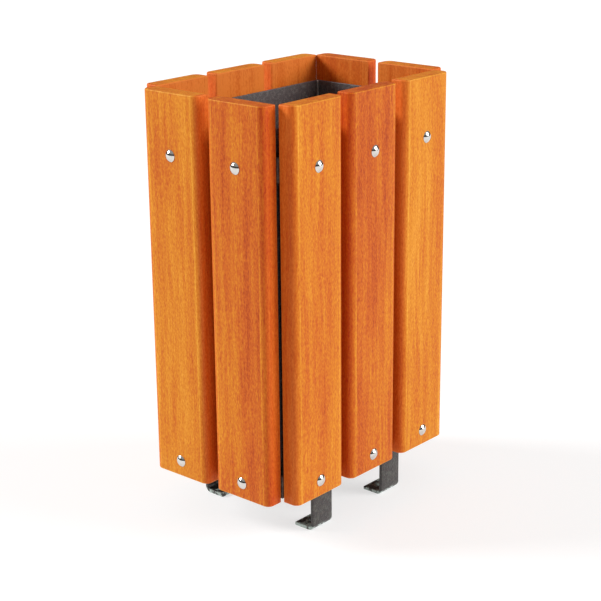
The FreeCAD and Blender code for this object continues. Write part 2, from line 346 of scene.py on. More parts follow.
    # The oil leaves a satin face, duller over open pores, which lie a little below it.
    rough = add(tree, "ShaderNodeMath", {"operation": "MULTIPLY_ADD", 1: 0.2, 2: 0.40},
                {0: patterns["fibre"].outputs["Fac"]})
    relief = add(tree, "ShaderNodeMath", {"operation": "MULTIPLY_ADD", 1: 0.6},
                 {0: patterns["speckle"].outputs["Fac"], 2: patterns["fibre"].outputs["Fac"]})
    relief = add(tree, "ShaderNodeMath", {"operation": "SUBTRACT"}, {0: relief, 1: pores})
    bump = add(tree, "ShaderNodeBump", {"Strength": 0.4, "Distance": 0.6 * MM},
               {"Height": relief})
    finish_material(tree, {"IOR": 1.46, "Specular IOR Level": 0.15},
                    {"Base Color": stain.outputs[2], "Roughness": rough, "Normal": bump})
    return material


def hammered_enamel(name, base, hollow, glint, dimple, roughness, relief, toe_glint_colour=None):
    """Hammer-finish enamel on steel: shallow dimples a few millimetres apart, darker enamel in
    the hollows and a dull metallic fleck. A toe glint colour is painted in patches low down on
    the feet, as painted highlights."""
    material, tree = new_material(name)
    place = add(tree, "ShaderNodeTexCoord").outputs["Object"]
    dimples = add(tree, "ShaderNodeTexVoronoi",
                  {"feature": "SMOOTH_F1", "Scale": 1 / dimple, "Smoothness": 0.6},
                  {"Vector": place})
    cloud = add(tree, "ShaderNodeTexNoise", {"Scale": 0.45 / dimple, "Detail": 3.0},
                {"Vector": place})
    flake = add(tree, "ShaderNodeTexNoise", {"Scale": 2.4 / dimple, "Detail": 2.0},
                {"Vector": place})
    shade = add(tree, "ShaderNodeMapRange", {"From Min": 0.15, "From Max": 0.75},
                {"Value": dimples.outputs["Distance"]})
    enamel = add(tree, "ShaderNodeMix", {"data_type": "RGBA", 6: (*base, 1), 7: (*hollow, 1)},
                 {0: shade})
    fleck = add(tree, "ShaderNodeMath", {"operation": "MULTIPLY"},
                {0: cloud.outputs["Fac"], 1: flake.outputs["Fac"]})
    shine = add(tree, "ShaderNodeMapRange", {"From Min": 0.24, "From Max": 0.42, "To Max": 0.75},
                {"Value": fleck})
    coat = add(tree, "ShaderNodeMix", {"data_type": "RGBA", 7: (*glint, 1)},
               {0: shine, 6: enamel.outputs[2]})
    if toe_glint_colour:
        # Painted highlights: near the ground, pale grey-green patches stand in for glints, most of
        # all round the edges of each toe.
        spot = add(tree, "ShaderNodeSeparateXYZ", links={0: place})
        low = add(tree, "ShaderNodeMapRange", {"From Min": 9.0 * MM, "From Max": 6.5 * MM},
                  {"Value": spot.outputs["Z"]})
        across = add(tree, "ShaderNodeMath", {"operation": "ABSOLUTE"}, {0: spot.outputs["X"]})
        off_middle = add(tree, "ShaderNodeMath", {"operation": "SUBTRACT", 1: FOOT_MIDDLE.x},
                         {0: across})
        beside = add(tree, "ShaderNodeMath", {"operation": "ABSOLUTE"}, {0: off_middle})
        inwards = add(tree, "ShaderNodeMath", {"operation": "ABSOLUTE"}, {0: spot.outputs["Y"]})
        rim_start, rim_end = 7 * MM, 1 * MM      # in from the toe's edges
        side_edge, tip_edge = FOOT_SIZE.x / 2, FOOT_LOW.y
        sides = add(tree, "ShaderNodeMapRange",
                    {"From Min": side_edge - rim_start, "From Max": side_edge - rim_end},
                    {"Value": beside})
        tip = add(tree, "ShaderNodeMapRange",
                  {"From Min": tip_edge + rim_start, "From Max": tip_edge + rim_end},
                  {"Value": inwards})
        rim = add(tree, "ShaderNodeMath", {"operation": "MAXIMUM"}, {0: sides, 1: tip})
        glint_noise = add(tree, "ShaderNodeTexNoise", {"Scale": 1 / (11.0 * MM), "Detail": 3.0},
                     {"Vector": place})
        glint_noise = add(tree, "ShaderNodeMath", {"operation": "MULTIPLY_ADD", 1: 0.14},
                     {0: rim, 2: glint_noise.outputs["Fac"]})
        patches = add(tree, "ShaderNodeMapRange", {"From Min": 0.53, "From Max": 0.60},
                      {"Value": glint_noise})
        toe_glint_mask = add(tree, "ShaderNodeMath", {"operation": "MULTIPLY"}, {0: low, 1: patches})
        coat = add(tree, "ShaderNodeMix", {"data_type": "RGBA", 7: (*toe_glint_colour, 1)},
                   {0: toe_glint_mask, 6: coat.outputs[2]})
    rough = add(tree, "ShaderNodeMapRange",
                {"To Min": roughness - 0.08, "To Max": roughness + 0.12},
                {"Value": cloud.outputs["Fac"]})
    height = add(tree, "ShaderNodeMath", {"operation": "MULTIPLY_ADD", 1: -1.0},
                 {0: dimples.outputs["Distance"], 2: flake.outputs["Fac"]})
    bump = add(tree, "ShaderNodeBump", {"Strength": 0.6, "Distance": relief}, {"Height": height})
    finish_material(tree, {}, {"Base Color": coat.outputs[2], "Roughness": rough,
                               "Normal": bump})
    return material


def worked_metal(name, base, roughness, spread, scratch_spacing):
    """Bare or plated metal, its gloss broken up by fine handling marks."""
    material, tree = new_material(name)
    place = add(tree, "ShaderNodeTexCoord").outputs["Object"]
    marks = add(tree, "ShaderNodeTexNoise", {"Scale": 1 / scratch_spacing, "Detail": 4.0},
                {"Vector": place})
    patches = add(tree, "ShaderNodeTexNoise", {"Scale": 0.12 / scratch_spacing, "Detail": 2.0},
                  {"Vector": place})
    tint = add(tree, "ShaderNodeMix",
               {"data_type": "RGBA", 6: (*[c * 0.82 for c in base], 1), 7: (*base, 1)},
               {0: patches.outputs["Fac"]})
    rough = add(tree, "ShaderNodeMapRange",
                {"From Min": 0.3, "From Max": 0.7, "To Min": roughness, "To Max": roughness + spread},
                {"Value": marks.outputs["Fac"]})
    bump = add(tree, "ShaderNodeBump", {"Strength": 0.08, "Distance": 0.1 * MM},
               {"Height": marks.outputs["Fac"]})
    finish_material(tree, {"Metallic": 1.0},
                    {"Base Color": tint.outputs[2], "Roughness": rough, "Normal": bump})
    return material


# ---- mesh making ----


def new_object(name, bm, material=None):
    """A linked object from a bmesh, its normals made consistent."""
    bmesh.ops.recalc_face_normals(bm, faces=bm.faces)
    mesh = bpy.data.meshes.new(name)
    bm.to_mesh(mesh)
    bm.free()
    piece = bpy.data.objects.new(name, mesh)
    bpy.context.scene.collection.objects.link(piece)
    if material:
        mesh.materials.append(material)
    return piece


def skin(loops, closed=False):
    """A bmesh over a row of equal loops of points, capped at both ends unless it closes up."""
    bm = bmesh.new()
    rows = [[bm.verts.new(point) for point in loop] for loop in loops]
    pairs = list(zip(rows, rows[1:])) + ([(rows[-1], rows[0])] if closed else [])
    for lower, upper in pairs:
        for k in range(len(lower)):
            after = (k + 1) % len(lower)
            bm.faces.new((lower[k], lower[after], upper[after], upper[k]))
    if not closed:
        bm.faces.new(rows[0][::-1])
        bm.faces.new(rows[-1])
    return bm


def outline(low, high, radii, inset=0.0, steps=6, spans=1):
    """Points round a rectangle with rounded corners, anticlockwise from the low-y side. The four
    radii are those of the corners (high x, low y), (high, high), (low, high) and (low, low)."""
    corners = []
    for quarter, radius in enumerate(radii):
        right, top = quarter in (0, 1), quarter in (1, 2)
        x = high[0] - radius if right else low[0] + radius
        y = high[1] - radius if top else low[1] + radius
        reach = max(radius - inset, 0.02 * MM)
        slip = max(inset - radius + 0.02 * MM, 0.0)
        x += -slip if right else slip
        y += -slip if top else slip
        corner = []
        for step in range(steps + 1):
            angle = math.radians(90 * (quarter - 1) + 90 * step / steps)
            corner.append(Vector((x + reach * math.cos(angle), y + reach * math.sin(angle))))
        corners.append(corner)
    points = []
    for corner, following in zip(corners, corners[1:] + corners[:1]):
        points += corner
        for k in range(1, spans):
            points.append(corner[-1].lerp(following[0], k / spans))
    return points


def eased_ends(low, high, radius, steps=4, spans=1):
    """(inset, height) pairs that round both ends of an upright solid."""
    pairs = []
    for step in range(steps + 1):
        angle = math.radians(90 * step / steps)
        pairs.append((radius * (1 - math.sin(angle)), low + radius * (1 - math.cos(angle))))
    upper = [(inset, low + high - z) for inset, z in reversed(pairs)]
    for k in range(1, spans):
        pairs.append((0.0, low + (high - low) * k / spans))
    return pairs + upper


def block(name, low, high, radius, radii=None, steps=4, spans=(1, 1), material=None):
    """A solid block with softened edges; radii are the upright edges' if they differ."""
    radii = radii or (radius,) * 4
    loops = []
    for inset, z in eased_ends(low[2], high[2], radius, spans=spans[1]):
        points = outline(low, high, radii, inset, steps, spans[0])
        loops.append([(p.x, p.y, z) for p in points])
    return new_object(name, skin(loops), material)


def lathe(name, profile, steps=32, closed=False, material=None):
    """A solid of revolution about Y from (y, radius) pairs; open ends are capped."""
    loops = []
    for y, radius in profile:
        angles = [2 * math.pi * k / steps for k in range(steps)]
        loops.append([(radius * math.sin(a), y, radius * math.cos(a)) for a in angles])
    return new_object(name, skin(loops, closed), material)


def bake(piece):
    """Turns a piece's modifiers into plain mesh."""
    graph = bpy.context.evaluated_depsgraph_get()
    mesh = bpy.data.meshes.new_from_object(
        piece.evaluated_get(graph), preserve_all_data_layers=True, depsgraph=graph)
    piece.modifiers.clear()
    piece.data, old = mesh, piece.data
    mesh.name = old.name
    bpy.data.meshes.remove(old)


def combine(piece, others, operation="DIFFERENCE"):
    """Cuts other solids from a piece, or joins or intersects them, and deletes them."""
    for other in others:
        modifier = piece.modifiers.new(operation.lower(), "BOOLEAN")
        modifier.operation, modifier.solver, modifier.object = operation, "EXACT", other
    bake(piece)
    for other in others:
        bpy.data.objects.remove(other)


def drill(radius, start, end, steps=32):
    """A cutting cylinder between two points."""
    along = Vector(end) - Vector(start)
    tool = lathe("drill", [(0.0, radius), (along.length, radius)], steps)
    turn = Vector((0, 1, 0)).rotation_difference(along).to_matrix().to_4x4()
    tool.data.transform(Matrix.Translation(start) @ turn)
    return tool


def smooth(piece, angle=32):
    """Smooth shading that keeps edges sharper than the given angle."""
    piece.data.shade_smooth()
    piece.data.set_sharp_from_angle(angle=math.radians(angle))


def settle(piece, body, nodes):
    """Hands a finished piece to the frame: smooth shading, the body that it rides on, and the nodes
    that it stands for, which are hidden.
    """
    smooth(piece)
    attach(piece, body)
    if nodes:
        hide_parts(*nodes)


# ---- geometry nodes: what repeats ----


def new_tree(name, inputs):
    """A geometry node tree with named inputs, each (name, socket type, default)."""
    tree = bpy.data.node_groups.new(name, "GeometryNodeTree")
    tree.interface.new_socket("Geometry", in_out="OUTPUT", socket_type="NodeSocketGeometry")
    tree.interface.new_socket("Geometry", in_out="INPUT", socket_type="NodeSocketGeometry")
    for label, kind, default in inputs:
        socket = tree.interface.new_socket(label, in_out="INPUT", socket_type=kind)
        if default is not None:
            socket.default_value = default
    return tree, add(tree, "NodeGroupInput").outputs


def round_the_bin_tree():
    """Places the input piece at every slat: its origin on the row's line, its +Y outwards."""
    number, whole = "NodeSocketFloat", "NodeSocketInt"
    tree, given = new_tree("round_the_bin", [
        ("Long pitch", number, LONG_PITCH), ("Short pitch", number, SHORT_PITCH),
        ("Long side offset", number, HALF_Y), ("Short side offset", number, HALF_X),
        ("Row shift", number, ROW_SHIFT),
        ("First height", number, 0.0), ("Height step", number, BOLT_STEP), ("Levels", whole, 2),
        ("Turn spread", number, 0.0), ("Seed", whole, 1), ("Material", "NodeSocketMaterial", None)])
    kept = add(tree, "GeometryNodeStoreNamedAttribute",
               {"data_type": "FLOAT_VECTOR", "domain": "POINT", "Name": "board_position"},
               {"Geometry": given["Geometry"], "Value": add(tree, "GeometryNodeInputPosition")})
    sides = []
    for turn, count, pitch, offset in (
            (0, 3, "Long pitch", "Long side offset"), (180, 3, "Long pitch", "Long side offset"),
            (90, 2, "Short pitch", "Short side offset"),
            (-90, 2, "Short pitch", "Short side offset")):
        # A row turned to the front or the right runs backwards, and so does its shift.
        shift = add(tree, "ShaderNodeMath",
                    {"operation": "MULTIPLY", 1: 1.0 if turn in (0, 90) else -1.0},
                    {0: given["Row shift"]})
        first = add(tree, "ShaderNodeMath", {"operation": "MULTIPLY_ADD", 1: (1 - count) / 2},
                    {0: given[pitch], 2: shift})
        start = add(tree, "ShaderNodeCombineXYZ", links={"X": first, "Y": given[offset]})
        step = add(tree, "ShaderNodeCombineXYZ", links={"X": given[pitch]})
        row = add(tree, "GeometryNodeMeshLine", {"Count": count},
                  {"Start Location": start, "Offset": step})
        copies = add(tree, "GeometryNodeInstanceOnPoints", links={"Points": row, "Instance": kept})
        own_seed = add(tree, "ShaderNodeMath", {"operation": "ADD", 1: turn + 360.0},
                       {0: given["Seed"]})
        draw = add(tree, "FunctionNodeRandomValue",
                   {"data_type": "FLOAT_VECTOR", 0: (0, 0, 0), 1: (10, 10, 10)},
                   {"Seed": own_seed})
        marked = add(tree, "GeometryNodeStoreNamedAttribute",
                     {"data_type": "FLOAT_VECTOR", "domain": "INSTANCE", "Name": "board_seed"},
                     {"Geometry": copies, "Value": draw})
        angle = add(tree, "FunctionNodeRandomValue", {"data_type": "FLOAT"},
                    {3: given["Turn spread"], "Seed": own_seed})
        about = add(tree, "ShaderNodeCombineXYZ", links={"Y": angle.outputs[1]})
        turned = add(tree, "GeometryNodeRotateInstances",
                     links={"Instances": marked, "Rotation": about})
        sides.append(add(tree, "GeometryNodeTransform",
                         {"Rotation": (0, 0, math.radians(turn))}, {"Geometry": turned}))
    ring = add(tree, "GeometryNodeJoinGeometry", links={"Geometry": sides})
    bottom = add(tree, "ShaderNodeCombineXYZ", links={"Z": given["First height"]})
    rise = add(tree, "ShaderNodeCombineXYZ", links={"Z": given["Height step"]})
    levels = add(tree, "GeometryNodeMeshLine",
                 links={"Count": given["Levels"], "Start Location": bottom, "Offset": rise})
    rings = add(tree, "GeometryNodeInstanceOnPoints",
                links={"Points": levels, "Instance": ring})
    solid = add(tree, "GeometryNodeRealizeInstances", links={"Geometry": rings})
    dressed = add(tree, "GeometryNodeSetMaterial",
                  links={"Geometry": solid, "Material": given["Material"]})
    add(tree, "NodeGroupOutput", links={"Geometry": dressed})
    return tree


def weld_tree():
    """Runs of overlapping weld beads along the input's edges."""
    number = "NodeSocketFloat"
    tree, given = new_tree("weld_beads", [
        ("Bead spacing", number, 3.0 * MM), ("Bead width", number, 5.0 * MM),
        ("Seed", "NodeSocketInt", 4), ("Material", "NodeSocketMaterial", None)])
    runs = add(tree, "GeometryNodeMeshToCurve", links={"Mesh": given["Geometry"]})
    marks = add(tree, "GeometryNodeResampleCurve", {"mode": "LENGTH"},
                {"Curve": runs, "Length": given["Bead spacing"]})
    bead = add(tree, "GeometryNodeMeshUVSphere", {"Segments": 8, "Rings": 5, "Radius": 1.0})
    along = add(tree, "FunctionNodeAlignRotationToVector", {"axis": "Z"},
                {"Vector": add(tree, "GeometryNodeInputTangent")})
    half_width = add(tree, "ShaderNodeMath", {"operation": "MULTIPLY", 1: 0.5},
                     {0: given["Bead width"]})
    size = add(tree, "ShaderNodeCombineXYZ",
               links={"X": half_width, "Y": half_width, "Z": given["Bead spacing"]})
    uneven = add(tree, "FunctionNodeRandomValue",
                 {"data_type": "FLOAT_VECTOR", 0: (0.82, 0.82, 0.85), 1: (1.0, 1.0, 1.15)},
                 {"Seed": given["Seed"]})
    scale = add(tree, "ShaderNodeVectorMath", {"operation": "MULTIPLY"}, {0: size, 1: uneven})
    beads = add(tree, "GeometryNodeInstanceOnPoints",
                links={"Points": marks, "Instance": bead, "Rotation": along, "Scale": scale})
    solid = add(tree, "GeometryNodeRealizeInstances", links={"Geometry": beads})
    dressed = add(tree, "GeometryNodeSetMaterial",
                  links={"Geometry": solid, "Material": given["Material"]})
    add(tree, "NodeGroupOutput", links={"Geometry": dressed})
    return tree


def grow(piece, tree, values):
    """Runs a geometry node tree on a piece with its inputs set, and bakes the result."""
    modifier = piece.modifiers.new(tree.name, "NODES")
    modifier.node_group = tree
    for item in tree.interface.items_tree:
        if item.in_out == "INPUT" and item.name in values:
            modifier[item.identifier] = values[item.name]
    bake(piece)


# ---- the pieces ----


class BIN_OT_slats(bpy.types.Operator):
    """Ten stained timber slats round the frame"""
    bl_idname = "litter_bin.slats"
    bl_label = "Timber slats"

    # How far each board takes the stain, from 0, deep red-brown, to 1, pale honey.
    tones = {
        "slat_left_back": 0.58, "slat_left_front": 0.40, "slat_front_left": 0.54,
        "slat_front_middle": 0.40, "slat_front_right": 0.60, "slat_right_front": 0.56,
        "slat_right_back": 0.46, "slat_back_right": 0.66, "slat_back_middle": 0.72,
        "slat_back_left": 0.60,
    }

    def execute(self, context):
        timber = context.scene.litter_bin.timber
        half, depth, height = SLAT_SIZE.x / 2, SLAT_SIZE.y, SLAT_SIZE.z
        radii = (timber.inner_radius, timber.outer_radius, timber.outer_radius,
                 timber.inner_radius)
        boards = block("timber_slats", (-half, 0, 0), (half, depth, height), timber.end_radius,
                       radii, steps=8, spans=(6, 16))
        cutters = []
        for bolts in (LOWER_BOLTS, UPPER_BOLTS):
            z = bolts[2].z - SLAT_LOW.z
            cutters.append(drill(BOLT_HOLE / 2, (0, -MM, z), (0, depth + MM, z)))
            side = (NECK_SIDE + NECK_CLEARANCE) / 2
            floor = depth - NECK_LENGTH - NECK_CLEARANCE
            cutters.append(block("socket", (-side, floor, z - side), (side, depth + MM, z + side),
                                 0.1 * MM))
        combine(boards, cutters)
        grow(boards, round_the_bin_tree(), {
            "First height": SLAT_LOW.z, "Levels": 1, "Seed": 7,
            "Material": oiled_hardwood(timber)})
        self.store_tones(boards.data)
        settle(boards, "bin_frame", SLATS)
        return {"FINISHED"}

    def store_tones(self, mesh):
        """Gives every corner of each board that board's tone."""
        tone = mesh.attributes.new("board_tone", "FLOAT", "POINT")
        middles = [(span(name)[2], value) for name, value in self.tones.items()]
        for vertex in mesh.vertices:
            place = vertex.co
            nearest = min(middles, key=lambda m: max(abs(m[0].x - place.x), abs(m[0].y - place.y)))
            tone.data[vertex.index].value = nearest[1]


class BIN_OT_frame(bpy.types.Operator):
    """Flat-bar rings, cross bars and feet of the welded frame"""
    bl_idname = "litter_bin.frame"
    bl_label = "Steel frame"

    def execute(self, context):
        steel = context.scene.litter_bin.steel
        look = (steel.paint, steel.paint_shade, steel.paint_glint, steel.dimple, 0.32, 0.8 * MM)
        enamel = hammered_enamel("hammered_enamel", *look)
        # The feet's enamel carries the painted highlights on the toes.
        glinting = hammered_enamel("glinting_enamel", *look, toe_glint_colour=steel.toe_glint)
        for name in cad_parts:
            if name.startswith("ring_"):
                self.make_bar(name, steel, enamel, "ring_steel", drilled=True)
            elif name.startswith("cross_bar_"):
                self.make_bar(name, steel, enamel, "ring_steel", drilled=False)
            elif name.startswith("foot_"):
                self.make_foot(name, steel, glinting)
        return {"FINISHED"}

    def make_bar(self, name, steel, enamel, slot, drilled):
        """A flat bar in its node's place, drilled at every slat that it carries."""
        low, high, middle, size = span(name)
        bar = block(name + "_bar", low, high, steel.edge_radius, material=enamel)
        if drilled:
            along_x = size.x > size.y
            across = Vector((0, size.y, 0)) if along_x else Vector((size.x, 0, 0))
            count, pitch = (3, LONG_PITCH) if along_x else (2, SHORT_PITCH)
            drills = []
            for k in range(count):
                place = ROW_SHIFT + pitch * (k - (count - 1) / 2)
                point = middle + (Vector((place, 0, 0)) if along_x else Vector((0, place, 0)))
                drills.append(drill(BOLT_HOLE / 2, point - across, point + across))
            combine(bar, drills)
        settle(bar, "bin_frame", [name])

    def make_foot(self, name, steel, enamel):
        """A strap bent inwards at the ground, with one hole in the toe."""
        low, high, middle, size = span(name)
        half_width, half_thick = size.x / 2, FOOT_THICKNESS / 2
        bend = 2 * FOOT_THICKNESS
        top, toe = size.z, -size.y
        ease = steel.edge_radius
        # Each place is how far in from full size, then y and z of the strap's middle and the
        # angle of its outward face.
        places = [(ease, -half_thick, top, 0), (ease * 0.3, -half_thick, top - ease * 0.3, 0),
                  (0, -half_thick, top - ease, 0)]
        for step in range(13):
            angle = math.radians(-90 * step / 12)
            radius = bend - half_thick
            places.append((0, -bend + radius * math.cos(angle), bend + radius * math.sin(angle),
                           angle))
        places += [(0, toe + ease, half_thick, -math.pi / 2),
                   (ease * 0.3, toe + ease * 0.3, half_thick, -math.pi / 2),
                   (ease, toe, half_thick, -math.pi / 2)]
        loops = []
        for inset, y, z, angle in places:
            section = outline((-half_width, -half_thick), (half_width, half_thick), (ease,) * 4,
                              inset, steps=4)
            loops.append([(p.x, y + p.y * math.cos(angle), z + p.y * math.sin(angle))
                          for p in section])
        foot = new_object(name + "_strap", skin(loops), enamel)
        y = -FOOT_HOLE_FROM_HEEL
        combine(foot, [drill(FOOT_HOLE / 2, (0, y, -MM), (0, y, FOOT_THICKNESS + MM))])
        facing_back = middle.y > 0
        turn = Matrix.Identity(4) if facing_back else Matrix.Rotation(math.pi, 4, "Z")
        outer_y = high.y if facing_back else low.y
        foot.data.transform(Matrix.Translation((middle.x, outer_y, 0)) @ turn)
        settle(foot, "bin_frame", [name])


class BIN_OT_fasteners(bpy.types.Operator):
    """Coach bolts, washers and nuts at every slat"""
    bl_idname = "litter_bin.fasteners"
    bl_label = "Fasteners"

    def execute(self, context):
        settings = context.scene.litter_bin.fasteners
        polished = worked_metal("polished_stainless", settings.polished, 0.07, 0.10, 1.2 * MM)
        zinc = worked_metal("zinc_plate", settings.zinc, 0.30, 0.22, 1.5 * MM)
        tree = round_the_bin_tree()
        inner = RING_THICKNESS
        for kind, make, material, inset, spread in (
                ("coach_bolts", self.bolt, polished, -SLAT_SIZE.y, 0.0),
                ("washers", self.washer, zinc, inner, 0.0),
                ("nuts", self.nut, zinc, inner + WASHER_THICKNESS, 2 * math.pi)):
            group = make(kind + "_all_round")
            grow(group, tree, {
                "Long side offset": HALF_Y - inset, "Short side offset": HALF_X - inset,
                "First height": LOWER_BOLTS[2].z, "Turn spread": spread, "Seed": 3,
                "Material": material})
            nodes = [kind + "_lower", kind + "_upper"]
            settle(group, "bin_frame", nodes)
        return {"FINISHED"}

    def bolt(self, name):
        """Dome head, square neck and threaded shank, underside of the head on y = 0."""
        settings = bpy.context.scene.litter_bin.fasteners
        radius, shank = HEAD_DIAMETER / 2, BOLT_DIAMETER / 2
        lip = 0.5 * MM
        dome_height = HEAD_HEIGHT - lip
        dome = (radius ** 2 + dome_height ** 2) / (2 * dome_height)
        sweep = math.asin(radius / dome)
        profile = []
        for step in range(12):
            angle = sweep * (step + 0.02) / 11.02
            profile.append((HEAD_HEIGHT - dome * (1 - math.cos(angle)), dome * math.sin(angle)))
        profile += [(lip * 0.6, radius), (0.0, radius - 0.4 * MM), (0.0, shank)]
        start, end = -BOLT_LENGTH + settings.thread_length, -BOLT_LENGTH + 1.0 * MM
        turns = int((start - end) / settings.thread_pitch)
        profile.append((start, shank))
        for k in range(turns):
            y = start - settings.thread_pitch * (k + 0.5)
            profile.append((y, shank - settings.thread_depth))
            profile.append((y - settings.thread_pitch / 2, shank))
        profile.append((-BOLT_LENGTH, shank - 1.2 * MM))
        bolt = lathe(name, profile)
        side = NECK_SIDE / 2
        neck = block("neck", (-side, -NECK_LENGTH, -side), (side, 0.2 * MM, side), 0.3 * MM)
        combine(bolt, [neck], "UNION")
        return bolt

    def washer(self, name):
        """A flat washer with turned edges, lying towards -Y."""
        outer, inner, edge = WASHER_DIAMETER / 2, BOLT_HOLE / 2, 0.2 * MM
        thick = WASHER_THICKNESS
        profile = [(0, inner), (0, outer - edge), (-edge, outer), (-thick + edge, outer),
                   (-thick, outer - edge), (-thick, inner)]
        return lathe(name, profile, closed=True)

    def nut(self, name):
        """A hexagon nut with both faces chamfered, lying towards -Y."""
        corner = NUT_FLATS / math.sqrt(3)
        flat, thick = NUT_FLATS / 2, NUT_HEIGHT
        drop = corner - flat
        nut = lathe(name, [(0, corner), (-thick, corner)], steps=6)
        turned = lathe("turned", [(0, flat * 0.96), (-drop, corner * 1.01),
                                  (-thick + drop, corner * 1.01), (-thick, flat * 0.96)], steps=48)
        combine(nut, [turned], "INTERSECT")
        bore, mouth = BOLT_DIAMETER / 2 - 0.25 * MM, BOLT_DIAMETER / 2 + 0.3 * MM
        cutter = lathe("bore", [(0.1 * MM, mouth), (-0.6 * MM, bore), (-thick + 0.6 * MM, bore),
                                (-thick - 0.1 * MM, mouth)])
        combine(nut, [cutter])
        return nut


class BIN_OT_liner(bpy.types.Operator):
    """Welded sheet-steel liner that lifts out of the frame"""
    bl_idname = "litter_bin.liner"
    bl_label = "Liner"

    def execute(self, context):
        liner = context.scene.litter_bin.liner
        coating = hammered_enamel("liner_coating", liner.paint, [c * 0.72 for c in liner.paint],
                                  liner.paint_speck, liner.dimple, 0.48, 0.4 * MM)
        self.make_shell(liner, coating)
        self.make_base(liner, coating)
        return {"FINISHED"}

    def make_shell(self, liner, coating):
        """Four walls with a safe edge folded down outside the rim, and a hand hole at each end."""
        wall, top, bottom = LINER_WALL, LINER_TOP, LINER_BOTTOM
        high = (LINER_HALF_X - wall, LINER_HALF_Y - wall)
        low = (-high[0], -high[1])
        # (outward offset, height) round the sheet's section, from the inside of the wall.
        hem = top - liner.hem_height
        section = [(-wall, bottom), (-wall, top - wall)]
        for step in range(1, 8):
            angle = math.pi * step / 8
            section.append((-wall * math.cos(angle), top - wall + wall * math.sin(angle)))
        section += [(wall, top - wall), (wall, hem + 0.4 * MM), (wall * 0.7, hem),
                    (0.1 * MM, hem + 0.2 * MM), (0.0, hem - 0.5 * MM), (0.0, bottom)]
        loops = []
        for offset, z in section:
            points = outline(low, high, (liner.bend_radius,) * 4, -offset, steps=8, spans=4)
            loops.append([(p.x, p.y, z) for p in points])
        shell = new_object("liner_shell", skin(loops, closed=True), coating)
        half_length, half_height = liner.hole_length / 2, liner.hole_height / 2
        z = top - liner.hole_drop
        slots = []
        for side in (-1, 1):
            # A slot with round ends, made upright and then laid along the wall's normal.
            points = outline((-half_length, -half_height), (half_length, half_height),
                             (half_height,) * 4, steps=10)
            loops = [[(side * high[0] + reach, p.x, z + p.y) for p in points]
                     for reach in (-5 * MM, 5 * MM)]
            slots.append(new_object("slot", skin(loops)))
        combine(shell, slots)
        settle(shell, "liner", ["liner_sheet_back_left", "liner_sheet_front_right"])

    def make_base(self, liner, coating):
        """The floor of the liner with its flange turned down, and six drain holes."""
        low, high, wall = BASE_LOW, BASE_HIGH, LINER_WALL
        radius = liner.bend_radius - wall
        bend = 2.5 * MM
        profile = [(bend + wall, high.z - wall), (wall, high.z - bend - wall), (wall, low.z),
                   (0.0, low.z), (0.0, high.z - bend)]
        for step in range(1, 7):
            angle = math.radians(90 * step / 6)
            profile.append((bend * (1 - math.cos(angle)), high.z - bend + bend * math.sin(angle)))
        loops = []
        for inset, z in profile:
            points = outline(low, high, (radius,) * 4, inset, steps=8)
            loops.append([(p.x, p.y, z) for p in points])
        base = new_object("liner_floor", skin(loops), coating)
        drains = []
        for x in (-DRAIN_X, 0.0, DRAIN_X):
            for y in (-DRAIN_Y, DRAIN_Y):
                drains.append(drill(liner.drain_diameter / 2, (x, y, high.z - 4 * MM),
                                    (x, y, high.z + MM), steps=24))
        combine(base, drains)
        settle(base, "liner", ["liner_base"])


class BIN_OT_welds(bpy.types.Operator):
    """Weld beads, painted over on the frame and bright inside the liner"""
    bl_idname = "litter_bin.welds"
    bl_label = "Weld beads"

    def execute(self, context):
        tree = weld_tree()
        painted = bpy.data.materials["hammered_enamel"]
        self.make("frame_welds", self.frame_runs(), "bin_frame", "ring_steel", tree, painted,
                  5.0 * MM)
        bright = worked_metal("weld_metal", context.scene.litter_bin.liner.weld, 0.48, 0.2,
                              1.5 * MM)
        self.make("liner_welds", self.liner_runs(), "liner", "liner_steel", tree, bright,
                  4.0 * MM)
        return {"FINISHED"}

    def make(self, name, runs, body, slot, tree, material, width):
        """One piece of weld beads along straight runs, each given by its two ends."""
        bm = bmesh.new()
        for start, end in runs:
            bm.edges.new((bm.verts.new(start), bm.verts.new(end)))
        piece = new_object(name, bm)
        grow(piece, tree, {"Bead width": width, "Material": material})
        settle(piece, body, [])

    def frame_runs(self):
        """Inside corners of both rings, the edges of the feet and the ends of the cross bars."""
        runs = []
        sink, margin = 0.8 * MM, 3 * MM          # into the corner, and short of each edge
        inner_x, inner_y = HALF_X - RING_THICKNESS, HALF_Y - RING_THICKNESS
        for level in ("lower", "upper"):
            low, high, _, _ = span("ring_" + level + "_back")
            for x in (-inner_x + sink, inner_x - sink):
                for y in (-inner_y + sink, inner_y - sink):
                    runs.append(((x, y, low.z + margin), (x, y, high.z - margin)))
        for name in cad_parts:
            low, high, middle, _ = span(name)
            face = math.copysign(inner_y - sink, middle.y)
            if name.startswith("foot_"):
                ring_low = span("ring_lower_back")[0].z
                for x in (low.x - sink, high.x + sink):
                    runs.append(((x, face, ring_low + margin), (x, face, high.z - margin)))
            if name.startswith("cross_bar_"):
                for y in (-inner_y + sink, inner_y - sink):
                    z = high.z + sink
                    runs.append(((low.x + margin, y, z), (high.x - margin, y, z)))
        return runs

    def liner_runs(self):
        """The two upright seams where the sheets meet, and stitches round the floor, all laid from
        inside and set just deep enough not to show through the sheet."""
        wall, sink = LINER_WALL, 1.2 * MM
        x = BASE_HIGH.x - sink
        y = BASE_HIGH.y - sink
        floor, rim = BASE_HIGH.z, LINER_TOP - wall
        runs = []
        for side in (-1, 1):
            runs.append(((side * x, side * y, floor), (side * x, side * y, rim - 1.5 * MM)))
        z, stitch = floor + 0.3 * MM, 40 * MM
        for k in range(-2, 3):
            middle = k * 2 * stitch
            for side in (-1, 1):
                runs.append(((middle - stitch / 2, side * y, z), (middle + stitch / 2, side * y, z)))
                if abs(k) < 2:
                    runs.append(((side * x, middle - stitch / 2, z),
                                 (side * x, middle + stitch / 2, z)))
        return runs


